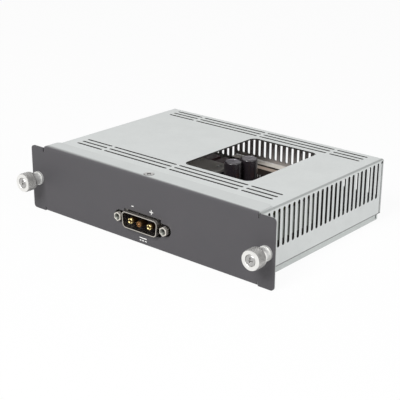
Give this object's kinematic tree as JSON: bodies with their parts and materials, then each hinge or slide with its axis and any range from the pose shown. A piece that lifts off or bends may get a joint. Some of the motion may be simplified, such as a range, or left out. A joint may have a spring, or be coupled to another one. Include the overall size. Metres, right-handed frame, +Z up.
{
  "type": "dc power supply module",
  "caption": "Rack-style DC power supply module: dark front panel with power inlet and captive thumbscrews on a slotted zinc case with a window.",
  "frame": {"origin": "middle of the module's footprint, on the plane of the front panel's lower edge", "axes": "+X to the right seen from the front, +Y to the rear, +Z up; the front panel faces -Y"},
  "size_m": [0.1756, 0.1254, 0.039],
  "materials": {
    "panel_paint": "smooth dark grey powder coat on the front, bare zinc behind",
    "cover_zinc": "pale satin zinc-plated sheet",
    "tray_zinc": "satin zinc-plated sheet",
    "dark_screw": "dark plated",
    "fastener_steel": "bright zinc-plated",
    "board_laminate": "brown laminate",
    "inlet_nickel": "bright nickel",
    "jack_nickel": "bright nickel",
    "black_insulator": "moulded black",
    "pin_gold": "gold-plated",
    "pin_copper": "copper-gold",
    "output_ivory": "moulded ivory",
    "blade_tin": "tinned",
    "capacitor_sleeve": "black shrink sleeve, grey aluminium top",
    "small_capacitor_sleeve": "dark shrink sleeve",
    "film_brown": "dark brown resin box",
    "black_anodised": "black anodised",
    "moulding_black": "black epoxy moulding",
    "ferrite": "dark ferrite",
    "bobbin_black": "moulded black",
    "winding_tape": "pale yellow-green polyester tape",
    "toroid_coating": "yellow-green epoxy coating",
    "copper_wire": "enamelled copper",
    "fuse_metal": "nickel caps on a ceramic tube",
    "varistor_coating": "blue epoxy coating",
    "ceramic_chip": "ceramic",
    "screw_zinc": "bright zinc-plated, machined",
    "knob_zinc": "bright zinc-plated with a diamond knurl",
    "spring_steel": "spring steel wire"
  },
  "bodies": {
    "case": {"front_panel": "panel_paint", "top_cover": "cover_zinc", "base_tray": "tray_zinc", "flange_screws": "dark_screw", "clinch_nuts": "fastener_steel", "rear_screws": "fastener_steel", "main_board": "board_laminate", "board_standoffs": "fastener_steel", "board_screws": "fastener_steel", "inlet_shell": "inlet_nickel", "inlet_insulator": "black_insulator", "inlet_pin_left": "pin_gold", "inlet_pin_middle": "pin_copper", "inlet_pin_right": "pin_gold", "inlet_jackscrews": "jack_nickel", "inlet_brackets": "fastener_steel", "output_housing": "output_ivory", "output_blades": "blade_tin", "capacitor_front": "capacitor_sleeve", "capacitor_rear": "capacitor_sleeve", "output_capacitors": "small_capacitor_sleeve", "film_capacitors": "film_brown", "heatsink_plate": "black_anodised", "power_transistors": "moulding_black", "transistor_screws": "fastener_steel", "side_heatsink": "black_anodised", "rectifier": "moulding_black", "transformer_core": "ferrite", "transformer_bobbin": "bobbin_black", "transformer_winding": "winding_tape", "choke_core": "toroid_coating", "choke_winding": "copper_wire", "filter_core": "ferrite", "filter_windings": "copper_wire", "fuse": "fuse_metal", "varistor": "varistor_coating", "control_chips": "moulding_black", "small_parts": "ceramic_chip", "left_ferrule": "screw_zinc", "right_ferrule": "screw_zinc"},
    "left_spring_end": {"left_spring": "spring_steel"},
    "left_thumbscrew": {"left_knob": "knob_zinc", "left_screw": "screw_zinc"},
    "right_spring_end": {"right_spring": "spring_steel"},
    "right_thumbscrew": {"right_knob": "knob_zinc", "right_screw": "screw_zinc"}
  },
  "joints": [
    {"name": "left_press", "type": "slide", "parent": "case", "child": "left_spring_end", "axis": [0, 1, 0], "range_m": [0, 0.0032], "stiffness_N_per_m": 400, "springref_m": -0.002, "deforming": ["left_spring"]},
    {"name": "left_spin", "type": "hinge", "parent": "left_spring_end", "child": "left_thumbscrew", "pos_m": [-0.0822, -0.05025, 0.019], "axis": [0, 1, 0], "continuous": true},
    {"name": "right_press", "type": "slide", "parent": "case", "child": "right_spring_end", "axis": [0, 1, 0], "range_m": [0, 0.0032], "stiffness_N_per_m": 400, "springref_m": -0.002, "deforming": ["right_spring"]},
    {"name": "right_spin", "type": "hinge", "parent": "right_spring_end", "child": "right_thumbscrew", "pos_m": [0.0822, -0.05025, 0.019], "axis": [0, 1, 0], "continuous": true}
  ]
}
